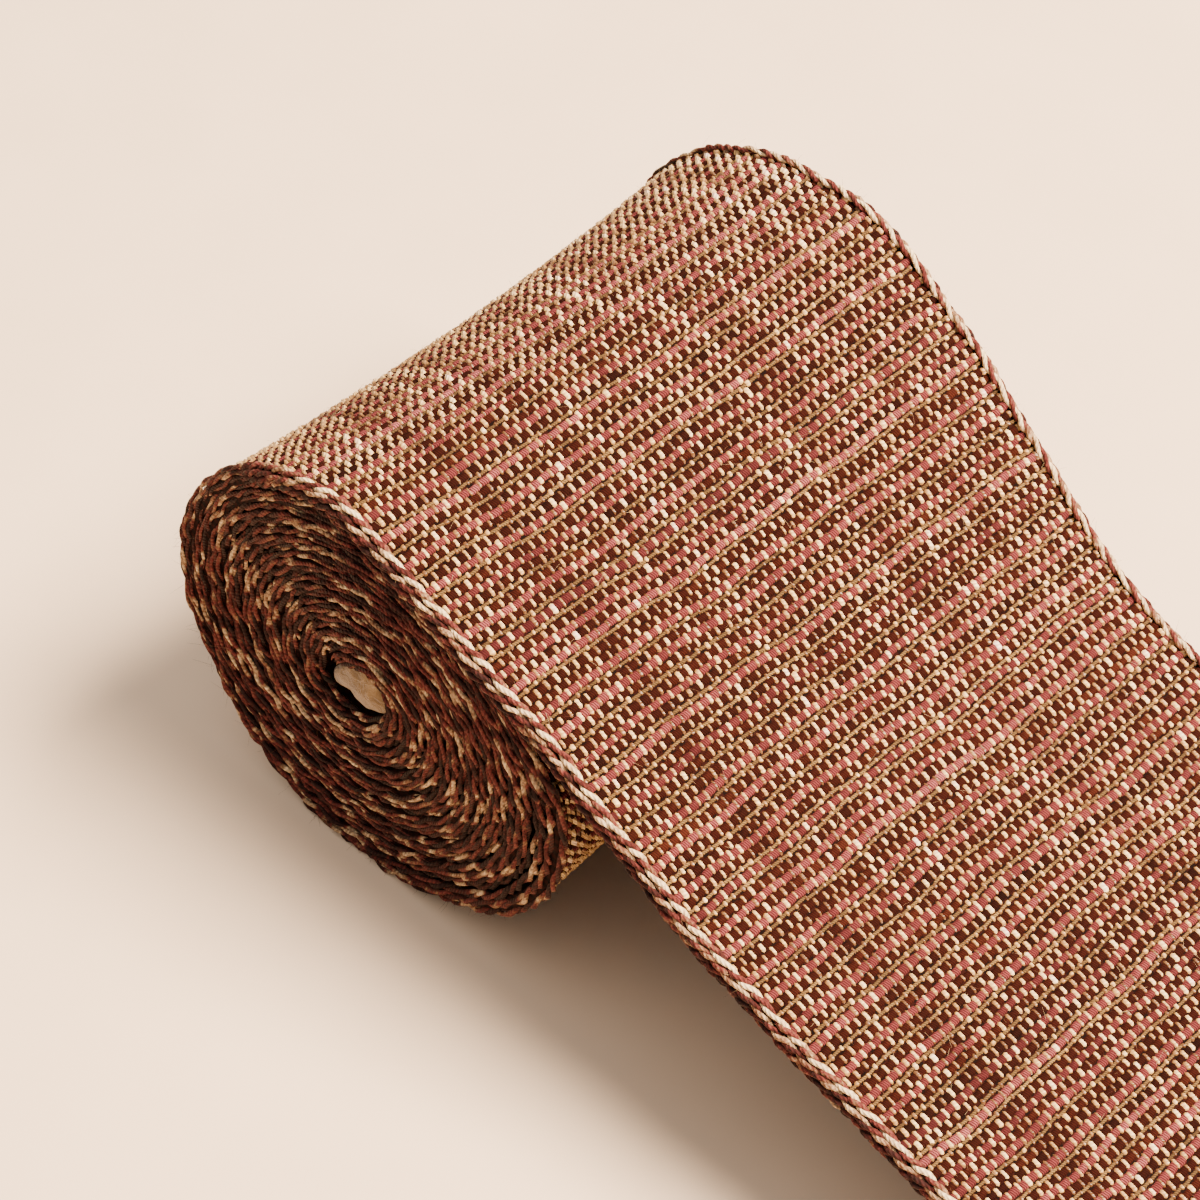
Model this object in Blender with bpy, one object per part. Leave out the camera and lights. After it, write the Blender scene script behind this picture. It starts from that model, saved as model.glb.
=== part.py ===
"""A wide woven tape on a roll, with its loose end running down to the table.

The tape is one solid: the wound turns, the outer turn around them, and the loose end that leaves the
top of the roll. A small wad of cotton lies in the hollow that the tape is wound around.
+X runs along the loose end, +Y along the roll's axis, +Z up. The origin is the middle of the
object's footprint, on the table. The tables hold millimetres, and everything else metres.
"""

import bmesh
import bpy
import numpy as np

MM = 0.001

TAPE_WIDTH = 60.0 * MM
TAPE_THICKNESS = 2.2 * MM
WAIST = 1.2 * MM            # how far the middle of the width lies inside the thicker selvedges
FAR_SWELL = 0.06            # the far end of the roll is this much larger at its upper back
FAR_SWELL_ANGLE = 120.0     # degrees

ROLL_CENTRE_X = 1.5 * MM
ROLL_CENTRE_Z = 23.7 * MM
TURNS = 8.5
TAKE_OFF = 12.0             # degrees up from +X, where the loose end parts from the turn beneath
TOP = 90.0                  # degrees, where the loose end's table takes over from the roll's
HIDDEN_LAP = 8.0            # degrees that the outer turn runs on beneath the loose end
MERGE_START = 30.0          # degrees, between which the turns beneath rise to meet the outer one
MERGE_END = 55.0
MERGE_DEPTH = 1.4 * MM      # how deep the inner turns reach into the outer one

HOLLOW_LONG = 5.0 * MM      # half the hollow's long and short ways across
HOLLOW_SHORT = 4.0 * MM
HOLLOW_TILT = 37.0          # degrees

# The outermost layer's radius around the roll, were it not to shrink as it winds inwards.
OUTER_LAYER = {
    "angle_deg": (12, 30, 45, 60, 90, 120, 150, 180, 210, 240, 270, 300, 330, 350, 372),
    "radius_mm": (30.6, 25.5, 23.4, 22.3, 23.9, 23.7, 23.8, 25.3, 26.1, 27.0, 25.8, 25.4, 27.8, 29.3, 30.6),
}
# Deeper in, the turns grow rounder: an oval with these half widths.
INNER_OVAL_LONG = 27.0 * MM
INNER_OVAL_SHORT = 24.6 * MM
INNER_OVAL_TILT = 20.0      # degrees
ROUNDING_TURNS = 2.5        # turns in from the outside where that oval is reached

# Height of the loose end's upper face along each selvedge, from the top of the roll to the cut end.
LOOSE_END = {
    "x_mm": (6, 12, 18, 24, 30, 36, 42, 50, 60, 72, 84, 96, 106, 114, 122, 130),
    "near_mm": (45.4, 42.8, 40.1, 37.7, 34.4, 30.7, 27.3, 24.1, 20.9, 17.4, 13.2, 8.6, 4.9, 2.9, 2.2, 2.2),
    "far_mm": (48.6, 46.6, 42.9, 38.2, 33.0, 27.7, 23.3, 20.1, 17.0, 13.4, 9.4, 5.6, 3.2, 2.3, 2.2, 2.2),
}
LOOSE_END_LENGTH = 139.0 * MM   # along the cloth, from the top of the roll to the cut end

EDGE_RECESS = 0.5 * MM      # the inner turns' edges lie this far inside the outer turn's edge
EDGE_RELIEF = 0.9 * MM      # depth of the furrow between two turns' edges
EDGE_WANDER = 0.35 * MM     # how unevenly one turn's edge lies beside the next

CORE_LONG = 4.1 * MM        # half the wad's long and short ways across
CORE_SHORT = 1.8 * MM
CORE_LENGTH = 59.0 * MM
CORE_ROUNDING = 1.2 * MM    # how far the wad's ends are rounded over
SEAT_GAP = 0.3 * MM

ROLL_STEPS = 40             # stations in one turn
LOOSE_STEPS = 30            # stations along the loose end
WIDTH_STEPS = 6             # strips across the width
CORE_STEPS = 20             # sides of the wad


def curve_through(table_at, table_values, at):
    """Smooth curve through a table's rows: cubic pieces whose slopes come from the neighbouring rows."""
    rows = np.asarray(table_at, float)
    values = np.asarray(table_values, float)
    slopes = np.gradient(values, rows)
    i = np.clip(np.searchsorted(rows, at, side="right") - 1, 0, len(rows) - 2)
    step = rows[i + 1] - rows[i]
    t = (at - rows[i]) / step
    return ((1 + 2 * t) * (1 - t) ** 2 * values[i] + t * (1 - t) ** 2 * step * slopes[i]
            + t ** 2 * (3 - 2 * t) * values[i + 1] + t ** 2 * (t - 1) * step * slopes[i + 1])


def oval_radius(angle, long_half, short_half, tilt):
    """Radius of a tilted oval at an angle in degrees: a b / sqrt((b cos)^2 + (a sin)^2)."""
    a = np.radians(angle - tilt)
    return long_half * short_half / np.hypot(short_half * np.cos(a), long_half * np.sin(a))


def turn_radius(angle, turns_in, share=0.0):
    """Outer radius of the wound tape at an angle, a number of turns in, at a share of the width.

    The radius falls evenly from the outermost layer to the hollow, while the shape of the layers
    passes from the outer outline to the inner oval. Towards the far end the upper back swells.
    """
    around = TAKE_OFF + (np.asarray(angle, float) - TAKE_OFF) % 360.0
    around = np.where(np.asarray(angle, float) == TAKE_OFF + 360.0, TAKE_OFF + 360.0, around)
    outside = curve_through(OUTER_LAYER["angle_deg"], OUTER_LAYER["radius_mm"], around) * MM
    oval = oval_radius(around, INNER_OVAL_LONG, INNER_OVAL_SHORT, INNER_OVAL_TILT)
    rounded = np.clip(turns_in / ROUNDING_TURNS, 0.0, 1.0)
    rounded = rounded * rounded * (3.0 - 2.0 * rounded)
    layer = outside + (oval - outside) * rounded
    hollow = oval_radius(around, HOLLOW_LONG, HOLLOW_SHORT, HOLLOW_TILT)
    swell = 1.0 + FAR_SWELL * share * np.cos(np.radians(around - FAR_SWELL_ANGLE) / 2.0) ** 4
    return (hollow + (layer - hollow) * (1.0 - turns_in / TURNS)) * swell


def roll_points(angle, radius):
    """Points of the section, x and z, at these angles and radii around the roll's centre."""
    a = np.radians(angle)
    return np.stack([ROLL_CENTRE_X + radius * np.cos(a), ROLL_CENTRE_Z + radius * np.sin(a)], axis=-1)


def selvedge_path(heights_mm, share):
    """The outer face along one selvedge, from the cut end over the top and round the roll."""
    angle = np.linspace(TOP, TAKE_OFF + 360.0 + HIDDEN_LAP, ROLL_STEPS)
    turn = roll_points(angle, turn_radius(angle, (angle - TAKE_OFF) / 360.0, share))
    rows_x = np.append(turn[0, 0] / MM, LOOSE_END["x_mm"])
    rows_z = np.append(turn[0, 1] / MM, heights_mm)
    x = np.linspace(rows_x[0], rows_x[-1], 400)
    fine = np.stack([x, curve_through(rows_x, rows_z, x)], axis=-1) * MM
    run = np.append(0.0, np.cumsum(np.linalg.norm(np.diff(fine, axis=0), axis=1)))
    along = np.linspace(0.0, LOOSE_END_LENGTH, LOOSE_STEPS + 1)
    loose = np.stack([np.interp(along, run, fine[:, 0]), np.interp(along, run, fine[:, 1])], axis=-1)
    return np.concatenate([loose[:0:-1], turn])


def outward(path):
    """Unit normals of a section path: its direction turned a quarter towards the outside."""
    direction = np.gradient(path, axis=0)
    normal = np.stack([direction[..., 1], -direction[..., 0]], axis=-1)
    return normal / np.linalg.norm(normal, axis=-1, keepdims=True)


def waist_at(across):
    """How far the cloth lies inwards at a share of its width: a shallow trough, nothing at the edges."""
    return WAIST * (1.0 - (2.0 * across - 1.0) ** 2)


def outer_turn_mesh():
    """The outer turn and the loose end: a strip of even thickness, closed at its edges and ends."""
    near = selvedge_path(LOOSE_END["near_mm"], 0.0)
    far = selvedge_path(LOOSE_END["far_mm"], 1.0)
    across = np.linspace(0.0, 1.0, WIDTH_STEPS + 1)
    middle = near[:, None] * (1.0 - across)[None, :, None] + far[:, None] * across[None, :, None]
    normal = outward(middle)
    pressed_flat = near[:, 1] <= 0.0
    dip = np.where(pressed_flat[:, None], 0.0, waist_at(across)[None])
    upper = middle - normal * dip[..., None]
    upper[..., 1] = np.maximum(upper[..., 1], 0.0)
    lower = upper - normal * TAPE_THICKNESS
    lifted = np.maximum(-lower[..., 1], 0.0)
    lower[..., 1] += lifted
    upper[..., 1] += np.where(normal[..., 1] > 0.5, lifted, 0.0)
    ring = np.concatenate([upper, lower[:, ::-1]], axis=1)
    ring_y = np.append(across, across[::-1]) * TAPE_WIDTH
    points = np.stack([ring[..., 0], np.broadcast_to(ring_y, ring.shape[:2]), ring[..., 1]], axis=-1)
    stations, count = points.shape[:2]
    index = np.arange(stations * count).reshape(stations, count)
    beside = np.roll(index, -1, axis=1)
    sides = np.stack([index[:-1], beside[:-1], beside[1:], index[1:]], axis=-1).reshape(-1, 4)
    ends = []
    for station in (0, stations - 1):
        row = index[station]
        ends += [(row[j], row[j + 1], row[count - 2 - j], row[count - 1 - j]) for j in range(WIDTH_STEPS)]
    return points.reshape(-1, 3), sides.tolist() + [tuple(int(v) for v in face) for face in ends]


def wound_outline(angle, share):
    """Radius of the wound turns' side, which lies within whichever layer covers it."""
    turns_in = (angle - TAKE_OFF) / 360.0
    covered = turn_radius(angle, turns_in, share)
    beneath = turn_radius(angle, turns_in + 1.0, share)
    merged = np.clip((angle - MERGE_START) / (MERGE_END - MERGE_START), 0.0, 1.0)
    return beneath + (covered - beneath) * merged - (TAPE_THICKNESS - MERGE_DEPTH)


def wound_turns_mesh():
    """The inner turns as one body, with each turn's edge standing as a spiral ridge on both ends.

    Each end is a grid of rows around the hollow. Rows follow the spiral, so a row that has gone once
    round meets the row two places further in: one for a ridge and one for the furrow beside it.
    """
    angle = TAKE_OFF + np.arange(ROLL_STEPS) * 360.0 / ROLL_STEPS
    rows = int(2 * (TURNS - 1.0)) + 2
    turns_in = np.empty((rows, ROLL_STEPS))
    turns_in[1:] = 1.0 + np.arange(rows - 1)[:, None] / 2.0 + (angle - TAKE_OFF)[None] / 360.0
    turns_in[1:] = np.minimum(turns_in[1:], TURNS)
    around = np.broadcast_to(angle, (rows - 1, ROLL_STEPS))
    ends = [roll_points(angle, np.vstack([wound_outline(angle, share), turn_radius(around, turns_in[1:], share)]))
            for share in (0.0, 1.0)]

    ridge = (np.arange(rows) % 2 == 0)[:, None] & (turns_in < TURNS)
    ridge[0] = False
    wander = EDGE_WANDER * np.sin(2.3 * np.floor(np.where(ridge, turns_in, 0.0)) + np.radians(angle)[None])
    depth = np.where(ridge, EDGE_RECESS + EDGE_WANDER + wander, EDGE_RECESS + EDGE_RELIEF + EDGE_WANDER)

    near = np.stack([ends[0][..., 0], depth, ends[0][..., 1]], axis=-1)
    far = np.stack([ends[1][..., 0], TAPE_WIDTH - depth, ends[1][..., 1]], axis=-1)
    inner_shares = np.linspace(0.0, 1.0, 5)[1:-1]
    side = []
    for share in inner_shares:
        ring = roll_points(angle, wound_outline(angle, share) - waist_at(share))
        side.append(np.stack([ring[:, 0], np.full(ROLL_STEPS, share * TAPE_WIDTH), ring[:, 1]], axis=-1))

    points = np.concatenate([near.reshape(-1, 3), far.reshape(-1, 3), *side])
    near_index = np.arange(rows * ROLL_STEPS).reshape(rows, ROLL_STEPS)
    far_index = near_index + near_index.size
    faces = end_faces(near_index) + [face[::-1] for face in end_faces(far_index)]
    rings = [near_index[0]]
    rings += [2 * near_index.size + np.arange(ROLL_STEPS) + k * ROLL_STEPS for k in range(len(side))]
    rings.append(far_index[0])
    faces += ring_faces(rings) + ring_faces([far_index[-1], near_index[-1]])
    return points, faces


def end_faces(index):
    """Faces of one end's grid, whose last column meets the first one two rows further in.

    At the hollow a square can have two corners in one place, so each corner is kept once.
    """
    rows = len(index)
    faces = []
    for i in range(ROLL_STEPS - 1):
        faces += [(index[j, i], index[j + 1, i], index[j + 1, i + 1], index[j, i + 1]) for j in range(rows - 1)]
    last = ROLL_STEPS - 1
    inward = [min(j + 2, rows - 1) for j in range(rows)]
    faces.append((index[0, last], index[1, last], index[3, 0], index[2, 0], index[1, 0], index[0, 0]))
    faces += [(index[j, last], index[j + 1, last], index[inward[j + 1], 0], index[inward[j], 0])
              for j in range(1, rows - 1)]
    corners = [tuple(dict.fromkeys(int(v) for v in face)) for face in faces]
    return [face for face in corners if len(face) > 2]


def ring_faces(rings):
    """Quads between closed rings of equal counts, each ring joined to the next."""
    faces = []
    for first, second in zip(rings, rings[1:]):
        quads = np.stack([first, np.roll(first, -1), np.roll(second, -1), second], axis=-1)
        faces += [tuple(int(v) for v in quad) for quad in quads]
    return faces


def core_mesh():
    """The wad: an oval rod with rounded ends, lying just clear of the hollow's lower side."""
    around = np.arange(CORE_STEPS) * 2.0 * np.pi / CORE_STEPS
    tilt = np.radians(HOLLOW_TILT)
    across = np.array((np.cos(tilt), np.sin(tilt)))
    upwards = np.array((-np.sin(tilt), np.cos(tilt)))
    drop = HOLLOW_SHORT - SEAT_GAP - CORE_SHORT - 0.4 * MM
    centre = np.array((ROLL_CENTRE_X, ROLL_CENTRE_Z)) - upwards * drop
    inset = (TAPE_WIDTH - CORE_LENGTH) / 2.0
    stations = np.array((inset, inset + CORE_ROUNDING, TAPE_WIDTH - inset - CORE_ROUNDING, TAPE_WIDTH - inset))
    shrink = np.array((CORE_ROUNDING, 0.0, 0.0, CORE_ROUNDING))
    rings = []
    for y, less in zip(stations, shrink):
        ring = (centre + np.outer(np.cos(around), across) * (CORE_LONG - less)
                + np.outer(np.sin(around), upwards) * (CORE_SHORT - less))
        rings.append(np.stack([ring[:, 0], np.full(CORE_STEPS, y), ring[:, 1]], axis=-1))
    index = np.arange(len(rings) * CORE_STEPS).reshape(len(rings), CORE_STEPS)
    caps = [tuple(int(v) for v in index[0]), tuple(int(v) for v in index[-1][::-1])]
    return np.concatenate(rings), ring_faces(list(index)) + caps


def make_material(name, colour, roughness):
    """A cloth-like Principled material of one colour."""
    material = bpy.data.materials.new(name)
    material.use_nodes = True
    shader = material.node_tree.nodes["Principled BSDF"]
    shader.inputs["Base Color"].default_value = (*colour, 1.0)
    shader.inputs["Roughness"].default_value = roughness
    shader.inputs["Metallic"].default_value = 0.0
    return material


def make_object(name, points, faces, material):
    """A closed mesh object: doubles merged, faces triangulated and pointing out, shaded smooth."""
    mesh = bpy.data.meshes.new(name)
    mesh.from_pydata(points.tolist(), [], faces)
    work = bmesh.new()
    work.from_mesh(mesh)
    bmesh.ops.remove_doubles(work, verts=work.verts, dist=0.01 * MM)
    bmesh.ops.dissolve_degenerate(work, edges=work.edges, dist=0.001 * MM)
    bmesh.ops.triangulate(work, faces=work.faces)
    bmesh.ops.recalc_face_normals(work, faces=work.faces)
    work.to_mesh(mesh)
    work.free()
    mesh.shade_smooth()
    mesh.set_sharp_from_angle(angle=np.radians(40.0))
    mesh.materials.append(material)
    thing = bpy.data.objects.new(name, mesh)
    bpy.context.scene.collection.objects.link(thing)
    return thing


def main():
    """Build the tape and its core, standing on the table around the origin."""
    for old in list(bpy.data.objects):
        bpy.data.objects.remove(old, do_unlink=True)

    outer_points, outer_faces = outer_turn_mesh()
    wound_points, wound_faces = wound_turns_mesh()
    core_points, core_faces = core_mesh()
    footprint = (outer_points.min(axis=0) + outer_points.max(axis=0)) / 2.0
    to_origin = -np.array((footprint[0], footprint[1], 0.0))

    woven = make_material("woven_cotton", (0.28, 0.10, 0.07), 0.85)
    wad = make_material("cotton_wad", (0.45, 0.35, 0.24), 0.95)

    tape = make_object("tape", outer_points + to_origin, outer_faces, woven)
    wound = make_object("wound_turns", wound_points + to_origin, wound_faces, woven)
    wound.hide_render = True
    wound.display_type = "WIRE"
    join = tape.modifiers.new("join_turns", "BOOLEAN")
    join.operation = "UNION"
    join.object = wound
    join.solver = "EXACT"
    make_object("core", core_points + to_origin, core_faces, wad)


main()
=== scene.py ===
"""Looks of a wide woven tape on a roll, its loose end running down to the table.

The cloth is a plain weave. Thick brown and rose wefts and thin gold ones run across the tape, and
cream warps run along it, passing over every other weft. Each place where a thread shows is a small
domed patch of its own. Twisted cords edge the tape, and the same edges make the spiral on the roll's
ends. Lengths are in metres unless a name ends in _mm.
"""
import logging
from dataclasses import dataclass, field
from enum import Enum
from typing import Sequence

import bpy
import numpy as np
from mathutils import Matrix, Vector


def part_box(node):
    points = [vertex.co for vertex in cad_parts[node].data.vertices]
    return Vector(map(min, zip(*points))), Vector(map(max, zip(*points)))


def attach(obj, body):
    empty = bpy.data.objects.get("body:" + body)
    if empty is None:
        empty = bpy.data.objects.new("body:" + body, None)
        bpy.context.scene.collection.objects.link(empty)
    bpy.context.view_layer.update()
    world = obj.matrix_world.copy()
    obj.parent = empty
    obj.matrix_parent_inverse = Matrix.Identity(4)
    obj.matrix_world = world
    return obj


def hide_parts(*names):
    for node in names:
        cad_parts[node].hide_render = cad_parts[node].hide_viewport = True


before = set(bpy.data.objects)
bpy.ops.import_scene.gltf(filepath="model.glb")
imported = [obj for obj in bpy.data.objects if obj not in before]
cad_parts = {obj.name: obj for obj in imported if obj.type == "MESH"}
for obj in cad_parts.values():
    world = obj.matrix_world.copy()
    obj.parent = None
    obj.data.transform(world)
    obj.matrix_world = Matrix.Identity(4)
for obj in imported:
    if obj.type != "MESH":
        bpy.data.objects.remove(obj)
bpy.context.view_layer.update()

MM = 0.001
TINY = 1e-12                  # keeps a division away from nought
LOWEST = 0.01 * MM            # no point lies nearer the table than this
SPECKLES_PER_METRE = 3500.0   # fibres mottle a yarn about every 0.3 mm
ONE_BAND_A_UNIT = 0.6283      # scale at which the wave texture repeats once a unit
MIDDLE_TONE = 0.5
ROOT = "root"
LOG = logging.getLogger("tape")
Array = np.ndarray
Stops = tuple[tuple[float, str], ...]


class Weft(Enum):
    """The three threads that run across the tape."""
    BROWN = "B"
    ROSE = "R"
    GOLD = "G"


@dataclass(frozen=True)
class WeftForm:
    """How one kind of weft lies in the cloth."""
    width_mm: float   # the room that it takes along the tape
    fill: float       # half its patch's width, as a share of that room
    top: float        # its patch's height, as a share of the cloth's relief
    spread: float     # how unlike each other its threads' tones are


WEFT_FORMS = {
    Weft.BROWN: WeftForm(0.80, 0.54, 0.68, 0.08),
    Weft.ROSE: WeftForm(0.82, 0.55, 0.76, 0.14),
    Weft.GOLD: WeftForm(0.56, 0.34, 0.54, 0.16),
}
# The order in which the wefts were thrown, charted as one repeat.
WEFT_CHART = "GBRBGRBGBRBGBRGBRBGBRBGRGBRBRGBBRGBRB"


def linear(colour: str) -> tuple[float, float, float, float]:
    """Turn an sRGB hex colour into linear red, green, blue and an alpha of one.

    Args:
        colour: six hex digits after a hash.

    Returns:
        The linear colour that a shader socket takes.
    """
    parts = np.array([int(colour[i:i + 2], 16) for i in (1, 3, 5)]) / 255.0
    curve = np.where(parts <= 0.04045, parts / 12.92, ((parts + 0.055) / 1.055) ** 2.4)
    return float(curve[0]), float(curve[1]), float(curve[2]), 1.0


def smooth(share: Array) -> Array:
    """Ease a share from 0 to 1: 3 t^2 - 2 t^3, held at the ends."""
    t = np.clip(share, 0.0, 1.0)
    return t * t * (3.0 - 2.0 * t)


def ripple(along: Array, seed: int, lengths_mm: Sequence[float] = (61.0, 37.0, 23.0, 11.0)) -> Array:
    """Slow unevenness: a sum of sines of unlike lengths, each with a seeded phase.

    Args:
        along: the places to read it at.
        seed: picks the phases.
        lengths_mm: the sines' wavelengths.

    Returns:
        A value for each place, mostly between -1 and 1.
    """
    phases = np.random.default_rng(seed).uniform(0.0, 2.0 * np.pi, len(lengths_mm))
    total = sum(np.sin(2.0 * np.pi * along / (length * MM) + phase)
                for length, phase in zip(lengths_mm, phases))
    return total / np.sqrt(2.0 * len(lengths_mm))


def feed(tree: bpy.types.NodeTree, target: bpy.types.Node, links: dict) -> None:
    """Feed a node's inputs.

    Args:
        tree: the node tree.
        target: the node.
        links: input name or number to the output socket or constant that feeds it.
    """
    for name, source in links.items():
        if isinstance(source, bpy.types.NodeSocket):
            tree.links.new(source, target.inputs[name])
        else:
            target.inputs[name].default_value = source


def node(tree: bpy.types.NodeTree, kind: str, links: dict | None = None, **settings) -> bpy.types.Node:
    """Add a shader node with its settings and links.

    Args:
        tree: the material's node tree.
        kind: the node's type, without the ShaderNode in front.
        links: what feeds its inputs, as feed takes it.
        settings: attributes of the node itself.

    Returns:
        The new node.
    """
    new = tree.nodes.new("ShaderNode" + kind)
    for name, value in settings.items():
        setattr(new, name, value)
    feed(tree, new, links or {})
    return new


def colour_ramp(tree: bpy.types.NodeTree, factor: bpy.types.NodeSocket, stops: Stops) -> bpy.types.NodeSocket:
    """Turn a factor into a colour.

    Args:
        tree: the material's node tree.
        factor: the socket that gives the factor.
        stops: places on the ramp and their hex colours.

    Returns:
        The ramp's colour socket.
    """
    ramp = node(tree, "ValToRGB", {"Fac": factor})
    elements = ramp.color_ramp.elements
    while len(elements) < len(stops):
        elements.new(MIDDLE_TONE)
    for element, (place, colour) in zip(elements, stops):
        element.position = place
        element.color = linear(colour)
    return ramp.outputs["Color"]


def bare_material(name: str) -> tuple[bpy.types.Material, bpy.types.NodeTree, bpy.types.Node]:
    """Start a material.

    Args:
        name: the material's name.

    Returns:
        The material, its node tree and its shader.
    """
    material = bpy.data.materials.new(name)
    material.use_nodes = True
    return material, material.node_tree, material.node_tree.nodes["Principled BSDF"]


@dataclass(frozen=True)
class YarnFinish:
    """Spun yarn: the twist shows as slanting strokes, darkened in their grooves by painted shade, and stray
    fibres give the edge a soft sheen.

    The UV map holds millimetres along the thread and the share round it. The attribute tone holds
    how light each stretch of the thread is.
    """
    name: str
    tones: Stops
    groove_shade: str
    twist_mm: float
    groove_shade_share: float = 0.55
    roughness: float = 0.82
    specular: float = 0.3
    sheen: float = 0.35
    relief_mm: float = 0.06
    fibre_mm: float = 0.03
    mottle: float = 0.45

    def make(self) -> bpy.types.Material:
        """Build the material: tone ramp, painted shade in the twist grooves, fibre speckle and bump.

        Returns:
            The material, which needs the UV map thread and the attribute tone.
        """
        material, tree, shader = bare_material(self.name)
        uv = node(tree, "UVMap", uv_map="thread")
        # One band for each turn of the twist, slanting because it moves on as it goes round.
        turned = node(tree, "Mapping", {"Vector": uv.outputs["UV"], "Scale": (1.0 / self.twist_mm, 1.0, 1.0)})
        strands = node(tree, "TexWave",
                       {"Vector": turned.outputs["Vector"], "Scale": ONE_BAND_A_UNIT, "Distortion": 0.9,
                        "Detail": 2.0, "Detail Scale": 1.5},
                       wave_type="BANDS", bands_direction="DIAGONAL", wave_profile="SIN")
        place = node(tree, "TexCoord")
        speckle = node(tree, "TexNoise", {"Vector": place.outputs["Object"], "Scale": SPECKLES_PER_METRE,
                                          "Detail": 2.0})
        tone = node(tree, "Attribute", attribute_name="tone")
        mottled = node(tree, "Math", {0: speckle.outputs["Fac"], 1: 0.5}, operation="SUBTRACT")
        uneven = node(tree, "Math", {0: mottled.outputs[0], 1: self.mottle, 2: tone.outputs["Fac"]},
                      operation="MULTIPLY_ADD")
        base = colour_ramp(tree, uneven.outputs[0], self.tones)
        # Painted shade: the colour is blended towards the groove colour in the grooves of the twist.
        depth = node(tree, "MapRange", {"Value": strands.outputs["Fac"], "From Min": 0.05, "From Max": 0.75,
                                        "To Min": self.groove_shade_share, "To Max": 0.0})
        shaded = node(tree, "MixRGB", {"Fac": depth.outputs["Result"], "Color1": base,
                                       "Color2": linear(self.groove_shade)})
        bump = node(tree, "Bump", {"Height": strands.outputs["Fac"], "Strength": 0.9,
                                   "Distance": self.relief_mm * MM})
        fibres = node(tree, "Bump", {"Height": speckle.outputs["Fac"], "Normal": bump.outputs["Normal"],
                                     "Strength": 0.5, "Distance": self.fibre_mm * MM})
        feed(tree, shader, {"Base Color": shaded.outputs["Color"], "Normal": fibres.outputs["Normal"],
                            "Roughness": self.roughness, "Specular IOR Level": self.specular,
                            "Sheen Weight": self.sheen, "Sheen Roughness": 0.5,
                            "Sheen Tint": linear(self.tones[-1][1])})
        return material


# Brown weft: soft cotton, spun loosely and dyed in the hank. Painted shade makes it almost black in the
# grooves of its twist, and it hardly shines at all.
BROWN_WEFT = YarnFinish("spun_cotton_brown", ((0.0, "#140301"), (0.5, "#2B0B05"), (1.0, "#4A2015")),
                        "#0C0200", 0.24, sheen=0.03, specular=0.06)
# Rose weft: the same soft cotton in a faded red. It is dyed unevenly, so one thread is pale and the next
# deep, and its twist shows as dark strokes of painted shade.
ROSE_WEFT = YarnFinish("spun_cotton_rose", ((0.0, "#3C1315"), (0.5, "#692E30"), (1.0, "#985658")),
                       "#2A0808", 0.23, groove_shade_share=0.9, sheen=0.05, specular=0.10)
# Gold weft: thin linen, twisted hard and left near its own straw colour. It is smoother than cotton,
# so it shows as a fine line with a dull gleam.
GOLD_WEFT = YarnFinish("spun_linen_gold", ((0.0, "#3A260F"), (0.5, "#654A28"), (1.0, "#977747")),
                       "#23150A", 0.26, groove_shade_share=0.8, sheen=0.04, specular=0.2)
# Cream warps: unbleached cotton, spun with slubs and polished under tension, which makes it round and
# glossy. Each crossing catches a small highlight, and thick spells look almost white.
CREAM_WARP = YarnFinish("spun_cotton_cream",
                        ((0.0, "#5A381A"), (0.3, "#98703E"), (0.55, "#CCA66C"), (0.8, "#E6C894"),
                         (1.0, "#E8CCBC")),
                        "#6A4420", 0.42, groove_shade_share=0.35, sheen=0.05, specular=0.6, roughness=0.42)
# Edge yarn: brown, rust and cream cotton plied together. Each colour comes to the top for a few
# millimetres at a time, so the edge is dark red flecked with cream.
EDGE_CORD = YarnFinish("twisted_edge_yarn",
                       ((0.0, "#0C0202"), (0.3, "#240706"), (0.45, "#3E110E"), (0.58, "#632926"),
                        (0.70, "#76543C"), (0.86, "#B49878"), (1.0, "#E0C8A0")),
                       "#120303", 0.50, groove_shade_share=0.35, relief_mm=0.05, sheen=0.05, specular=0.2)


@dataclass(frozen=True)
class GroundShadeFinish:
    """The cloth beneath the patches, near black as painted shade."""
    # Plain cotton cloth, woven of the brown yarn and lying deep between the threads, where hardly any light
    # comes. Its near-black colour is painted shade, darker than the brown yarn; it is dull and matt.
    name: str = "woven_cotton_ground"
    dark: str = "#0C0201"
    light: str = "#1E0603"
    thread_mm: float = 0.6
    relief_mm: float = 0.1

    def make(self) -> bpy.types.Material:
        """Build the material: a small check of threads in two dark tones, with a matching bump.

        Returns:
            The material, which needs the UV map thread.
        """
        material, tree, shader = bare_material(self.name)
        uv = node(tree, "UVMap", uv_map="thread")
        check = node(tree, "TexChecker", {"Vector": uv.outputs["UV"], "Scale": 1.0 / self.thread_mm,
                                          "Color1": linear(self.dark), "Color2": linear(self.light)})
        bump = node(tree, "Bump", {"Height": check.outputs["Fac"], "Strength": 0.5,
                                   "Distance": self.relief_mm * MM})
        feed(tree, shader, {"Base Color": check.outputs["Color"], "Normal": bump.outputs["Normal"],
                            "Roughness": 0.95, "Specular IOR Level": 0.1})
        return material


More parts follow.
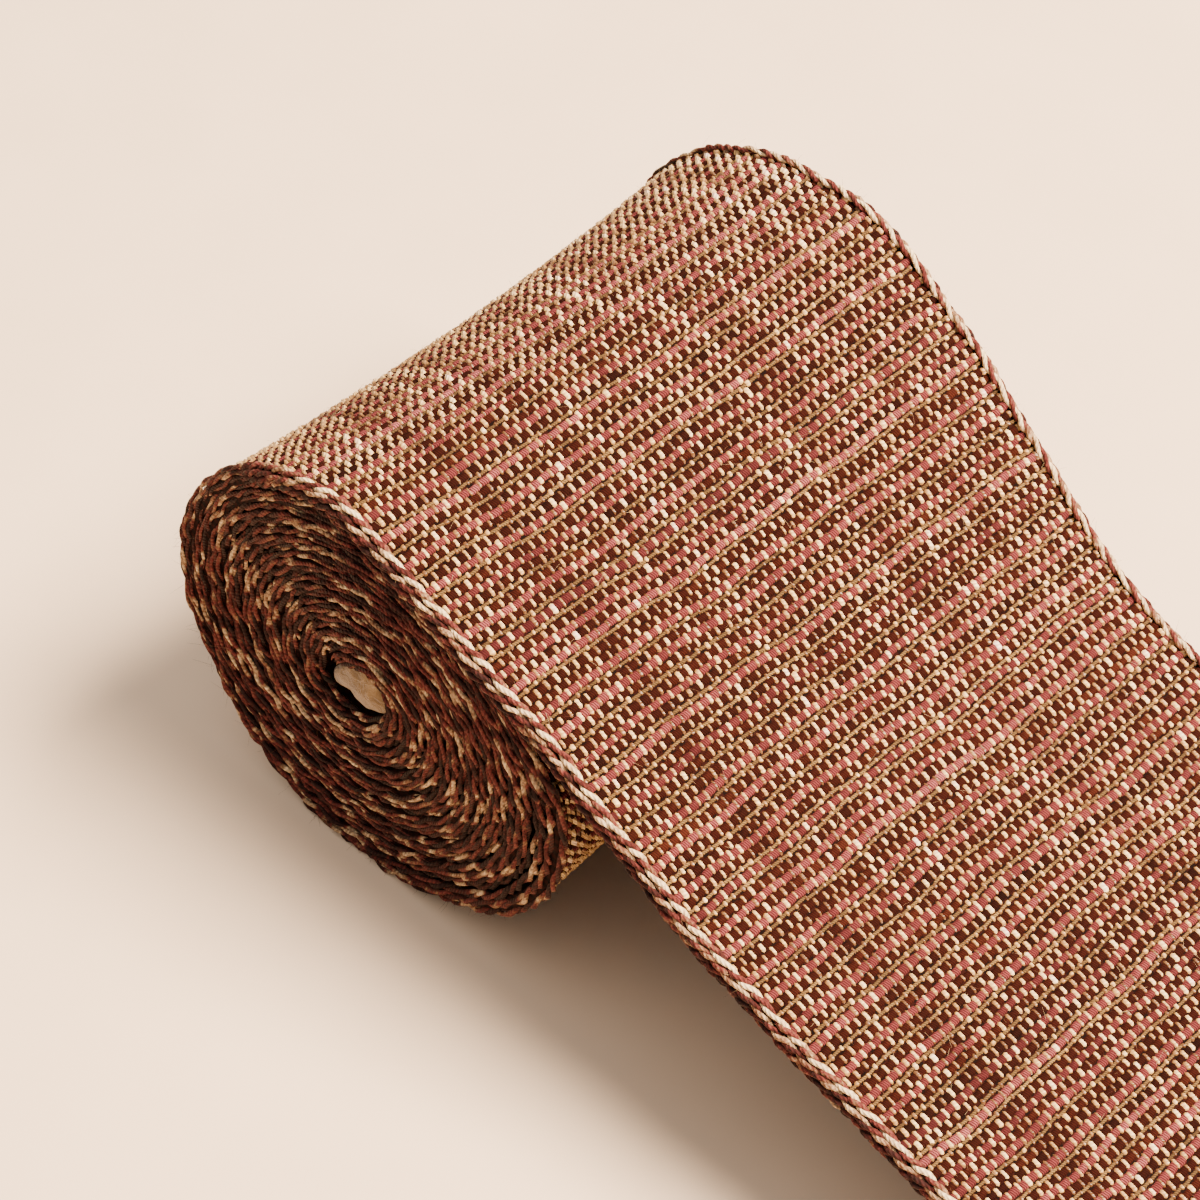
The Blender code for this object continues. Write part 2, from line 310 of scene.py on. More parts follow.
@dataclass(frozen=True)
class WadFinish:
    """Loose cotton."""
    # Cotton wadding, carded and pressed by hand but never spun. Its loose fibres scatter the light, so it
    # looks beige, soft and quite matt, with lumps; its hollows are darkened by painted shade.
    name: str = "cotton_wadding"
    tones: Stops = ((0.25, "#4E3B26"), (0.5, "#7A6243"), (0.8, "#A58C68"))
    lumps_per_metre: float = 700.0
    relief_mm: float = 0.5

    def make(self) -> bpy.types.Material:
        """Build the material: one noise of several scales for colour and bump, so the low places of the bump
        take the dark colour as painted shade.

        Returns:
            The material.
        """
        material, tree, shader = bare_material(self.name)
        place = node(tree, "TexCoord")
        lumps = node(tree, "TexNoise", {"Vector": place.outputs["Object"], "Scale": self.lumps_per_metre,
                                        "Detail": 6.0, "Roughness": 0.65, "Distortion": 0.8})
        bump = node(tree, "Bump", {"Height": lumps.outputs["Fac"], "Strength": 1.0,
                                   "Distance": self.relief_mm * MM})
        feed(tree, shader, {"Base Color": colour_ramp(tree, lumps.outputs["Fac"], self.tones),
                            "Normal": bump.outputs["Normal"], "Roughness": 0.95, "Sheen Weight": 0.4,
                            "Specular IOR Level": 0.2})
        return material


@dataclass(frozen=True)
class FloorFinish:
    """A pale floor."""
    # Painted board with a matt warm white finish. It takes soft shadows and shows no reflection, only
    # a faint unevenness of the coat.
    name: str = "matt_pale_floor"
    tones: Stops = ((0.3, "#D7C1AA"), (0.7, "#DBC5AE"))
    clouds_per_metre: float = 60.0

    def make(self) -> bpy.types.Material:
        """Build the material: one pale colour with a faint unevenness.

        Returns:
            The material.
        """
        material, tree, shader = bare_material(self.name)
        place = node(tree, "TexCoord")
        cloud = node(tree, "TexNoise", {"Vector": place.outputs["Object"], "Scale": self.clouds_per_metre,
                                        "Detail": 4.0})
        feed(tree, shader, {"Base Color": colour_ramp(tree, cloud.outputs["Fac"], self.tones),
                            "Roughness": 0.9, "Specular IOR Level": 0.15})
        return material


def grid_piece(name: str, points: Array, uv: Array, tone: Array, material: bpy.types.Material,
               flipped: bool = False, closed: bool = False) -> bpy.types.Object:
    """Make one mesh from many equal grids of points.

    Args:
        name: the piece's name.
        points: grids x rows x columns x 3 places; rows cross columns is outwards.
        uv: grids x rows x columns x 2, millimetres along the thread and the share round it.
        tone: grids x rows x columns, how light the thread is, 0 to 1.
        material: the piece's finish.
        flipped: True where columns cross rows is outwards.
        closed: True where the last column joins the first, as round a tube.

    Returns:
        The new object, shaded smooth.
    """
    grids, rows, columns = points.shape[:3]
    points = np.stack([points[..., 0], points[..., 1], np.maximum(points[..., 2], LOWEST)], axis=-1)
    index = np.arange(grids * rows * columns).reshape(grids, rows, columns)
    beside = np.roll(index, -1, axis=2) if closed else index[:, :, 1:]
    own = index if closed else index[:, :, :-1]
    quads = np.stack([own[:, :-1], own[:, 1:], beside[:, 1:], beside[:, :-1]], axis=-1).reshape(-1, 4)
    if flipped:
        quads = quads[:, ::-1]
    corner_uv = uv.reshape(-1, 2)[quads.ravel()]
    mesh = bpy.data.meshes.new(name)
    mesh.vertices.add(index.size)
    mesh.vertices.foreach_set("co", np.ascontiguousarray(points, dtype=np.float32).ravel())
    mesh.loops.add(quads.size)
    mesh.loops.foreach_set("vertex_index", np.ascontiguousarray(quads, dtype=np.int32).ravel())
    mesh.polygons.add(len(quads))
    mesh.polygons.foreach_set("loop_start", np.arange(len(quads), dtype=np.int32) * 4)
    layer = mesh.uv_layers.new(name="thread")
    layer.data.foreach_set("uv", np.ascontiguousarray(corner_uv, dtype=np.float32).ravel())
    attribute = mesh.attributes.new("tone", "FLOAT", "POINT")
    attribute.data.foreach_set("value", np.ascontiguousarray(tone, dtype=np.float32).ravel())
    mesh.update(calc_edges=True)
    mesh.shade_smooth()
    mesh.materials.append(material)
    piece = bpy.data.objects.new(name, mesh)
    bpy.context.scene.collection.objects.link(piece)
    return piece


def tubes(lines: Array, radius: Array, sides: int) -> Array:
    """Round tubes along many lines: each point plus its normal and binormal turned round the circle.

    Args:
        lines: lines x points x 3 places along each tube's middle.
        radius: lines x points, the tube's radius there.
        sides: how many corners each ring has.

    Returns:
        lines x points x sides x 3 places.
    """
    forward = np.gradient(lines, axis=1)
    forward /= np.linalg.norm(forward, axis=-1, keepdims=True) + TINY
    reference = np.broadcast_to(np.array((0.0, 1.0, 0.0)), forward.shape)
    steep = np.abs(forward[..., 1:2]) > 0.9
    reference = np.where(steep, np.array((1.0, 0.0, 0.0)), reference)
    side = np.cross(reference, forward)
    side /= np.linalg.norm(side, axis=-1, keepdims=True) + TINY
    up = np.cross(forward, side)
    around = np.arange(sides) * 2.0 * np.pi / sides
    ring = (side[:, :, None] * np.cos(around)[None, None, :, None]
            + up[:, :, None] * np.sin(around)[None, None, :, None])
    return lines[:, :, None] + ring * radius[:, :, None, None]


@dataclass
class TapePath:
    """Where the cloth runs: down the loose end, over the top, round the roll and in to the hollow.

    The tables are the construction's own. Each turn's radius falls evenly from the outermost layer to
    the hollow, and the layers grow rounder on the way in. The roll is sampled once a degree.
    """
    width: float = 60.0 * MM
    thickness: float = 2.2 * MM
    waist: float = 1.2 * MM
    far_swell: float = 0.06
    far_swell_angle: float = 120.0
    centre_mm: tuple[float, float] = (1.5, 23.7)
    turns: float = 8.5
    take_off: float = 12.0
    top: float = 90.0
    inner_stop: float = 40.0
    loose_length: float = 139.0 * MM
    loose_samples: int = 400
    curve_samples: int = 800
    turn_samples: int = 360
    lowest: float = 0.02 * MM
    layer_deg: tuple[float, ...] = (12, 30, 45, 60, 90, 120, 150, 180, 210, 240, 270, 300, 330, 350, 372)
    layer_mm: tuple[float, ...] = (30.6, 25.5, 23.4, 22.3, 23.9, 23.7, 23.8, 25.3, 26.1, 27.0, 25.8, 25.4,
                                   27.8, 29.3, 30.6)
    oval_mm: tuple[float, float] = (27.0, 24.6)
    oval_tilt: float = 20.0
    rounding_turns: float = 2.5
    hollow_mm: tuple[float, float] = (5.0, 4.0)
    hollow_tilt: float = 37.0
    loose_x_mm: tuple[float, ...] = (6, 12, 18, 24, 30, 36, 42, 50, 60, 72, 84, 96, 106, 114, 122, 130)
    near_mm: tuple[float, ...] = (45.4, 42.8, 40.1, 37.7, 34.4, 30.7, 27.3, 24.1, 20.9, 17.4, 13.2, 8.6,
                                  4.9, 2.9, 2.2, 2.2)
    far_mm: tuple[float, ...] = (48.6, 46.6, 42.9, 38.2, 33.0, 27.7, 23.3, 20.1, 17.0, 13.4, 9.4, 5.6,
                                 3.2, 2.3, 2.2, 2.2)
    run: Array = field(init=False)
    line: Array = field(init=False)
    outwards: Array = field(init=False)
    shift: Vector = field(init=False)
    gap: Array = field(init=False)

    def __post_init__(self) -> None:
        """Lay out both selvedges at fine steps, with their normals, the cloth's length and its spacing."""
        self.line = np.stack([self.selvedge(self.near_mm, 0.0), self.selvedge(self.far_mm, 1.0)])
        direction = np.gradient(self.line, axis=1)
        normal = np.stack([direction[..., 1], -direction[..., 0]], axis=-1)
        self.outwards = normal / np.linalg.norm(normal, axis=-1, keepdims=True)
        middle = self.line.mean(axis=0)
        self.run = np.append(0.0, np.cumsum(np.linalg.norm(np.diff(middle, axis=0), axis=1)))
        gap = np.linalg.norm(middle[self.turn_samples:] - middle[:-self.turn_samples], axis=1)
        gap[:self.loose_samples - 1] = self.thickness
        self.gap = np.append(gap, np.full(self.turn_samples, gap[-1]))
        low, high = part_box("tape")
        self.shift = Vector((high[0] - self.line[:, :, 0].max(), low[1], 0.0))

    @staticmethod
    def through(rows: Sequence[float], values: Sequence[float], at: Array) -> Array:
        """Smooth curve through a table: cubic pieces whose slopes come from the neighbouring rows.

        Args:
            rows: the table's places, rising.
            values: its values there.
            at: the places to read it at.

        Returns:
            The curve's values.
        """
        rows, values = np.asarray(rows, float), np.asarray(values, float)
        slopes = np.gradient(values, rows)
        i = np.clip(np.searchsorted(rows, at, side="right") - 1, 0, len(rows) - 2)
        step = rows[i + 1] - rows[i]
        t = (at - rows[i]) / step
        return ((1 + 2 * t) * (1 - t) ** 2 * values[i] + t * (1 - t) ** 2 * step * slopes[i]
                + t ** 2 * (3 - 2 * t) * values[i + 1] + t ** 2 * (t - 1) * step * slopes[i + 1])

    @staticmethod
    def oval(angle: Array, halves_mm: tuple[float, float], tilt: float) -> Array:
        """Radius in millimetres of a tilted oval: a b / sqrt((b cos)^2 + (a sin)^2)."""
        (a, b), turned = halves_mm, np.radians(angle - tilt)
        return a * b / np.hypot(b * np.cos(turned), a * np.sin(turned))

    def radius_mm(self, angle: Array, share: float) -> Array:
        """Outer radius of the wound cloth: the hollow's plus an even share of what lies outside it.

        Args:
            angle: total angle wound, in degrees.
            share: share of the width, 0 at the near selvedge.

        Returns:
            The radius in millimetres, larger by cos^4 of half the angle from the far end's swelling.
        """
        turns_in = (angle - self.take_off) / 360.0
        around = self.take_off + (angle - self.take_off) % 360.0
        rounded = smooth(turns_in / self.rounding_turns)
        outside = self.through(self.layer_deg, self.layer_mm, around)
        layer = outside + (self.oval(around, self.oval_mm, self.oval_tilt) - outside) * rounded
        hollow = self.oval(around, self.hollow_mm, self.hollow_tilt)
        swell = 1.0 + self.far_swell * share * np.cos(np.radians(around - self.far_swell_angle) / 2.0) ** 4
        return (hollow + (layer - hollow) * (1.0 - turns_in / self.turns)) * swell

    def selvedge(self, heights_mm: Sequence[float], share: float) -> Array:
        """One edge of the cloth's outer face, from the cut end to the hollow.

        Args:
            heights_mm: the loose end's heights along that edge.
            share: 0 for the near selvedge, 1 for the far one.

        Returns:
            Points x 2, their x and z.
        """
        angle = np.arange(self.top, self.take_off + 360.0 * self.turns - self.inner_stop, 1.0)
        radius = self.radius_mm(angle, share)
        turn = np.stack([self.centre_mm[0] + radius * np.cos(np.radians(angle)),
                         self.centre_mm[1] + radius * np.sin(np.radians(angle))], axis=-1)
        rows_x = np.append(turn[0, 0], self.loose_x_mm)
        rows_z = np.append(turn[0, 1], heights_mm)
        x = np.linspace(rows_x[0], rows_x[-1], self.curve_samples)
        fine = np.stack([x, self.through(rows_x, rows_z, x)], axis=-1)
        run = np.append(0.0, np.cumsum(np.linalg.norm(np.diff(fine, axis=0), axis=1)))
        along = np.linspace(0.0, min(self.loose_length / MM, run[-1]), self.loose_samples)
        loose = np.stack([np.interp(along, run, fine[:, 0]), np.interp(along, run, fine[:, 1])], axis=-1)
        path = np.concatenate([loose[:0:-1], turn]) * MM
        path[:, 1] = np.maximum(path[:, 1], 0.0)
        return path

    def at_angle(self, angle: float) -> float:
        """Length of cloth from the cut end to a total angle round the roll."""
        sample = self.loose_samples - 1 + (angle - self.top)
        return float(np.interp(sample, np.arange(len(self.run)), self.run))

    def spacing(self, along: Array) -> Array:
        """Distance in from one turn's outer face to the next turn's, at a length of cloth."""
        return np.interp(along, self.run, self.gap)

    def surface(self, along: Array, across: Array, height: Array) -> Array:
        """Places on the cloth.

        The point lies between the two selvedges at the same length, moved inwards by the waist,
        1 - (2 v - 1)^2, which fades where the cloth meets the table, and outwards by its height.

        Args:
            along: length from the cut end.
            across: share of the width, 0 at the near selvedge.
            height: distance out from the cloth's outer face.

        Returns:
            Places in the row frame, with one more axis of 3.
        """
        along, across, height = np.broadcast_arrays(along, across, height)
        inside = np.clip(across, 0.0, 1.0)[..., None]
        near, far, near_normal, far_normal = (
            np.stack([np.interp(along, self.run, table[:, c]) for c in (0, 1)], axis=-1)
            for table in (self.line[0], self.line[1], self.outwards[0], self.outwards[1]))
        point = near * (1.0 - inside) + far * inside
        normal = near_normal * (1.0 - inside) + far_normal * inside
        clearance = point[..., 1] - np.maximum(normal[..., 1], 0.0) * self.thickness
        dip = self.waist * (1.0 - (2.0 * inside[..., 0] - 1.0) ** 2) * smooth(clearance / (1.5 * self.waist))
        point = point + normal * (height - dip)[..., None]
        z = np.maximum(point[..., 1], self.lowest)
        y = across * self.width
        return np.stack([point[..., 0] + self.shift.x, y + self.shift.y, z], axis=-1)


@dataclass
class GroundCloth:
    """The whole length of tape as one thin closed strip, under the threads and between the turns, coloured as
    painted shade.
    """
    path: TapePath
    top_mm: float = -0.50
    bottom_mm: float = -1.70
    edge_mm: float = 0.45
    start_mm: float = 0.3
    step_mm: float = 2.0
    strips: int = 8

    def build(self) -> bpy.types.Object:
        """Build the strip: two faces and two edges as one ring carried along the path, closed at its ends.

        Returns:
            The ground cloth, with its finish.
        """
        length = self.path.run[-1]
        along = np.linspace(self.start_mm * MM, length, int(length / (self.step_mm * MM)))
        edge = self.edge_mm * MM / self.path.width
        across = np.linspace(edge, 1.0 - edge, self.strips + 1)
        ring_across = np.append(across, across[::-1])
        ring_height = np.repeat((self.top_mm, self.bottom_mm), self.strips + 1) * MM
        points = self.path.surface(along[:, None], ring_across[None], ring_height[None])
        for end in (0, -1):
            points[end, :] = (points[end, :] + points[end, ::-1]) / 2.0
        ring_mm = ring_across[None] * self.path.width / MM
        uv = np.stack(np.broadcast_arrays(along[:, None] / MM, ring_mm), axis=-1)
        tone = np.full(points.shape[:2], MIDDLE_TONE)
        return grid_piece("tape_ground", points[None], uv[None], tone[None], GroundShadeFinish().make(),
                          flipped=True, closed=True)


@dataclass
class Weave:
    """Layout of the plain weave: where each weft and warp lies, and how thick it is there."""
    path: TapePath
    end: float
    warp_pitch: float = 0.6 * MM
    margin: float = 0.75 * MM
    skew: float = 1.9 * MM
    least_weft: float = 0.69 * MM
    spare_wefts: int = 40
    weft_spread: float = 0.07
    warps_mm: tuple[float, ...] = (0.40, 0.46, 0.35, 0.23, 0.52)
    warp_shares: tuple[float, ...] = (0.34, 0.16, 0.24, 0.15, 0.11)
    warp_spread: float = 0.13
    warp_limits_mm: tuple[float, float] = (0.20, 0.68)
    wander: float = 0.28 * MM
    drift: float = 0.07 * MM
    jitter: float = 0.045 * MM
    seed: int = 5
    kinds: Array = field(init=False)
    weft_along: Array = field(init=False)
    weft_width: Array = field(init=False)
    warp_across: Array = field(init=False)
    warp_width: Array = field(init=False)

    def __post_init__(self) -> None:
        """Throw the wefts one after the other from the cut end, and space the warps evenly."""
        draw = np.random.default_rng(self.seed)
        count = int(self.end / self.least_weft) + self.spare_wefts
        self.kinds = np.array([WEFT_CHART[::-1][j % len(WEFT_CHART)] for j in range(count)])
        width = np.array([WEFT_FORMS[Weft(kind)].width_mm for kind in self.kinds]) * MM
        width = width * (1.0 + self.weft_spread * draw.standard_normal(count))
        along = np.cumsum(width) - width / 2.0
        kept = along < self.end
        self.kinds, self.weft_width, self.weft_along = self.kinds[kept], width[kept], along[kept]
        woven = self.path.width - 2.0 * self.margin
        warps = int(round(woven / self.warp_pitch))
        self.warp_across = self.margin + (np.arange(warps) + 0.5) * woven / warps
        self.warp_width = self.draw_warps(draw, warps)

    def draw_warps(self, draw: np.random.Generator, warps: int) -> Array:
        """Give each warp its own size, with thick slubs and thin spells along it.

        Args:
            draw: the weave's own random numbers.
            warps: how many warps there are.

        Returns:
            Wefts x warps, the warp's width at each weft.
        """
        own = draw.choice(self.warps_mm, size=warps, p=self.warp_shares)
        along = self.weft_along[:, None] + draw.uniform(0.0, 5.0, warps)[None]
        slub = np.clip(ripple(along, 21, (31.0, 19.0, 13.0)) - 0.9, 0.0, 1.0)
        thin = np.clip(ripple(along, 34, (43.0, 27.0, 17.0)) - 0.85, 0.0, 1.0)
        width = own[None] * (1.0 + 0.5 * slub - 0.5 * thin)
        width = width * (1.0 + self.warp_spread * draw.standard_normal(width.shape))
        return np.clip(width, *self.warp_limits_mm) * MM

    def places(self) -> tuple[Array, Array]:
        """Where the threads cross: an even grid on the skew, plus slow wander and a little jitter.

        Returns:
            Wefts x warps each, the length from the cut end and the share of the width.
        """
        across = self.warp_across[None] / self.path.width
        weft_at, warp_at = self.weft_along[:, None], self.warp_across[None]
        along = weft_at + self.skew * (0.5 - across) + self.wander * ripple(warp_at + 0.6 * weft_at, 3)
        drift = self.drift * ripple(weft_at + 3.0 * warp_at, 8, (29.0, 17.0, 7.0))
        jitter = np.random.default_rng(self.seed + 1).normal(0.0, self.jitter, (2,) + drift.shape)
        along, drift = along + jitter[0], drift + jitter[1]
        return along, across + drift / self.path.width


@dataclass(frozen=True)
class PatchForm:
    """Shape and painted shade of one thread's patches, for a along the patch and b across it, both -1 to 1.
    """
    drop: float
    slim: float
    slim_power: int
    shade: float
    end_shade: float
    edge_shade: float

    def dome(self, a: Array, b: Array) -> Array:
        """Height: sqrt(1 - b^2) times 1 - drop |a|^4."""
        along = 1.0 - self.drop * np.abs(a) ** 4
        return np.sqrt(np.clip(1.0 - b ** 2, 0.0, 1.0))[None, None, :] * along[None, :, None]

    def breadth(self, a: Array) -> Array:
        """Width: 1 - slim |a| to a power, so it narrows towards its ends."""
        return (1.0 - self.slim * np.abs(a) ** self.slim_power)[None, :, None]

    def hollow(self, a: Array, b: Array) -> Array:
        """Painted shade: how much darker it is near its ends, by |a|^3, where it dives under its neighbours,
        and along its edges, by b^2.
        """
        return (self.end_shade * np.abs(a[:, None]) ** 3 + self.edge_shade * b[None, :] ** 2)[None]


WEFT_PATCH = PatchForm(0.6, 0.12, 2, 0.58, 0.45, 0.25)
WARP_PATCH = PatchForm(0.7, 0.30, 4, 0.72, 0.42, 0.26)


@dataclass
class ThreadPatches:
    """The domed patches where a thread shows, on one face of the cloth."""
    weave: Weave
    first: float
    last: float
    outer: bool = True
    label: str = "outer"
    bottom_mm: float = -0.56
    relief_mm: float = 0.50
    flat: float = 0.62
    tuck_mm: float = 0.10
    spill_mm: float = 0.04
    gold_width: float = 0.85
    warp_fill: float = 0.96

    def height(self, share: Array) -> Array:
        """Height over the cloth's outer face, for a share from the face's ground (0) to its top (1)."""
        rise = (self.bottom_mm + share * self.relief_mm) * MM
        return rise if self.outer else -self.weave.path.thickness - rise

    def stations(self, steps: tuple[int, int]) -> tuple[Array, Array]:
        """Places on a patch: along it, flat in the middle and quick to fall, and across it by a sine.

        Args:
            steps: strips along and across.

        Returns:
            Places along and across, from -1 to 1.
        """
        inner = np.linspace(-self.flat, self.flat, steps[0] - 1)
        along = np.concatenate([[-1.0], inner if steps[0] > 2 else [0.0], [1.0]])
        return along, np.sin(np.linspace(-0.5, 0.5, steps[1] + 1) * np.pi)

    def chosen(self, over: Array) -> tuple[Array, Array]:
        """Find the crossings wanted that lie within this stretch of cloth.

        Args:
            over: wefts x warps, True at the crossings wanted.

        Returns:
            Their weft numbers and their warp numbers.
        """
        along = self.weave.weft_along
        within = (along > self.first) & (along <= self.last)
        return np.nonzero(over & within[:, None])

    def weft_on_top(self) -> Array:
        """Wefts x warps, True where the weft is on this face: every other crossing, like a chequer."""
        rows, columns = np.indices(self.weave.warp_width.shape)
        return (rows + columns) % 2 == (0 if self.outer else 1)

    def wefts(self, kind: Weft, finish: bpy.types.Material, steps: tuple[int, int]) -> bpy.types.Object:
        """Patches of one weft: each runs between the two warps that bind it, and dives under them.

        Args:
            kind: which weft.
            finish: its material.
            steps: strips along and across a patch.

        Returns:
            One piece with all its patches.
        """
        weave, path, form = self.weave, self.weave.path, WEFT_FORMS[kind]
        j, k = self.chosen(self.weft_on_top() & (weave.kinds == kind.value)[:, None])
        along, across = weave.places()
        last_warp = len(weave.warp_across) - 1
        before, after = np.maximum(k - 1, 0), np.minimum(k + 1, last_warp)
        tuck = self.tuck_mm * MM / path.width
        pitch = weave.warp_pitch / path.width
        low = across[j, before] + weave.warp_width[j, before] / 2.0 / path.width - tuck
        high = across[j, after] - weave.warp_width[j, after] / 2.0 / path.width + tuck
        low = np.where(k == 0, across[j, k] - pitch, low)
        high = np.where(k == last_warp, across[j, k] + pitch, high)
        a, b = self.stations(steps)
        middle, half = (low + high) / 2.0, (high - low) / 2.0
        slant = (along[j, after] - along[j, before]) / 2.0
        v = middle[:, None, None] + half[:, None, None] * a[None, :, None]
        reach = form.fill * weave.weft_width[j][:, None, None] * WEFT_PATCH.breadth(a)
        s = (along[j, k][:, None, None] + slant[:, None, None] * a[None, :, None] / 2.0
             + reach * b[None, None, :])
        points = path.surface(s, v, self.height(WEFT_PATCH.dome(a, b) * form.top))
        draw = np.random.default_rng(100 + len(kind.name) + int(self.outer))
        thread = form.spread * draw.standard_normal(len(weave.kinds))[j]
        patch = 0.08 * draw.standard_normal(len(j))
        shade = WEFT_PATCH.shade + thread + patch + 0.12 * ripple(weave.warp_across[k] + 9.0 * along[j, k], 9)
        # The weft patch's tone, less painted shade towards its ends and edges.
        tone = shade[:, None, None] - WEFT_PATCH.hollow(a, b)
        uv = np.stack(np.broadcast_arrays(v * path.width / MM, b[None, None, :] * 0.5), axis=-1)
        return grid_piece(f"weft_{kind.name.lower()}_{self.label}", points, uv, tone, finish,
                          flipped=not self.outer)

    def warps(self, finish: bpy.types.Material, steps: tuple[int, int]) -> bpy.types.Object:
        """Patches of the warps: each passes over one weft, thick in the middle and tucked at both ends.

        Args:
            finish: the warps' material.
            steps: strips along and across a patch.

        Returns:
            One piece with all the patches.
        """
        weave, path = self.weave, self.weave.path
        j, k = self.chosen(~self.weft_on_top())
        along, across = weave.places()
        draw = np.random.default_rng(200 + int(self.outer))
        own_length = draw.standard_normal(len(j)).clip(-2.0, 2.0)
        a, b = self.stations(steps)
        over_gold = weave.kinds[j] == Weft.GOLD.value
        spill = np.where(over_gold, 0.0, self.spill_mm) * MM
        half = (0.50 * weave.weft_width[j] + spill) * (1.0 + 0.12 * own_length)
        width = weave.warp_width[j, k] * np.where(over_gold, self.gold_width, self.warp_fill) / path.width
        s = along[j, k][:, None, None] + half[:, None, None] * a[None, :, None]
        v = (across[j, k][:, None, None]
             + 0.54 * width[:, None, None] * WARP_PATCH.breadth(a) * b[None, None, :])
        plump = 0.90 + 0.85 * (weave.warp_width[j, k] / MM - 0.2) - 0.12 * over_gold
        points = path.surface(s, v, self.height(WARP_PATCH.dome(a, b) * plump[:, None, None]))
        slub = (weave.warp_width[j, k] / MM - 0.50) * 1.6
        thread = 0.16 * draw.standard_normal(len(weave.warp_across))[k]
        shade = WARP_PATCH.shade + slub + thread + 0.08 * draw.standard_normal(len(j)) - 0.15 * over_gold
        # The warp patch's tone, less painted shade towards its ends and edges.
        tone = shade[:, None, None] - WARP_PATCH.hollow(a, b)
        uv = np.stack(np.broadcast_arrays(s / MM, b[None, None, :] * 0.5), axis=-1)
        return grid_piece(f"warp_{self.label}", points, uv, tone, finish, flipped=self.outer)


@dataclass(frozen=True)
class Cord:
    """One twisted cord of an edge: where it lies, and how light its two plies are.

    Its level is a share of the way in from one turn's outer face to the next turn's.
    """
    in_mm: float
    level: float
    ply_mm: float
    tones: tuple[float, float]
    wander: float
    flecks: float


@dataclass
class EdgeCords:
    """The twisted cords along one selvedge, from a place on the cloth to another."""
    path: TapePath
    near: bool
    first: float
    last: float
    cords: tuple[Cord, ...]
    pitch_mm: float
    step_mm: float
    label: str
    sides: int = 5
    usual_gap: float = 2.4 * MM
    fullness: tuple[float, float] = (0.85, 1.25)
    cream_until: float = 1.0
    cream_fade: float = 12.0 * MM
    past_tone: float = 0.34
    fleck_tone: float = 0.80
    fleck_level: float = 0.38
    fleck_edge: float = 0.16
    taper: float = 1.5 * MM
    thinnest: float = 0.05
    orbit: float = 0.80
    seed: int = 40

    def build(self, finish: bpy.types.Material) -> bpy.types.Object:
        """Build both plies of every cord as tubes.

        A ply circles its cord's own line once a pitch: offset = r (cos, sin)(2 pi s / pitch), with
        the second ply half a turn on. Flecks come where a slow ripple passes a level.

        Args:
            finish: the cords' material.

        Returns:
            One piece with all the plies.
        """
        along = np.arange(self.first, self.last, self.step_mm * MM)
        gap = self.path.spacing(along)
        full = np.clip(gap / self.usual_gap, *self.fullness)
        past_top = smooth((along - self.cream_until) / self.cream_fade)
        from_end = np.minimum(along - along[0], along[-1] - along)
        taper = self.thinnest + (1.0 - self.thinnest) * smooth(from_end / self.taper)
        lines, radii, tones = [], [], []
        for number, cord in enumerate(self.cords):
            seed = self.seed + 10 * number + int(self.near)
            for ply, tone in enumerate(cord.tones):
                turn = 2.0 * np.pi * along / (self.pitch_mm * MM) + ply * np.pi + 1.3 * number
                turn = turn + 1.1 * ripple(along, seed, (19.0, 7.0))
                orbit = self.orbit * cord.ply_mm * MM * full
                inward = (cord.in_mm * MM + orbit * np.cos(turn)
                          + 0.15 * MM * ripple(along, seed + 1, (13.0, 5.0)))
                across = inward / self.path.width
                across = across if self.near else 1.0 - across
                height = (-cord.level * gap + orbit * np.sin(turn)
                          + cord.wander * MM * ripple(along, seed + 2, (17.0, 9.0, 5.0)))
                lines.append(self.path.surface(along, across, height))
                spell = ripple(along + 0.9 * MM * ply, seed + 500, (17.0, 11.0, 7.0, 5.0))
                fleck = smooth((spell - self.fleck_level) / self.fleck_edge)
                own = tone + (self.past_tone - tone) * past_top * (tone > 0.6)
                own = own + (self.fleck_tone - own) * fleck * cord.flecks
                uneven = 1.0 + 0.16 * ripple(along, seed + 3, (4.0, 2.6))
                radii.append(cord.ply_mm * MM * full * taper * uneven)
                tones.append(own + 0.13 * ripple(along, seed + 4 + ply, (11.0, 6.0, 3.0, 1.7)))
        points = tubes(np.array(lines), np.array(radii), self.sides)
        around = np.arange(self.sides) / self.sides
        uv = np.stack(np.broadcast_arrays(along[None, :, None] / MM, around[None, None, :]), axis=-1)
        uv = np.broadcast_to(uv, points.shape[:3] + (2,))
        tone = np.broadcast_to(np.clip(np.array(tones), 0.0, 1.0)[:, :, None], points.shape[:3])
        side = "near" if self.near else "far"
        return grid_piece(f"edge_{self.label}_{side}", points, uv, tone, finish, flipped=True, closed=True)


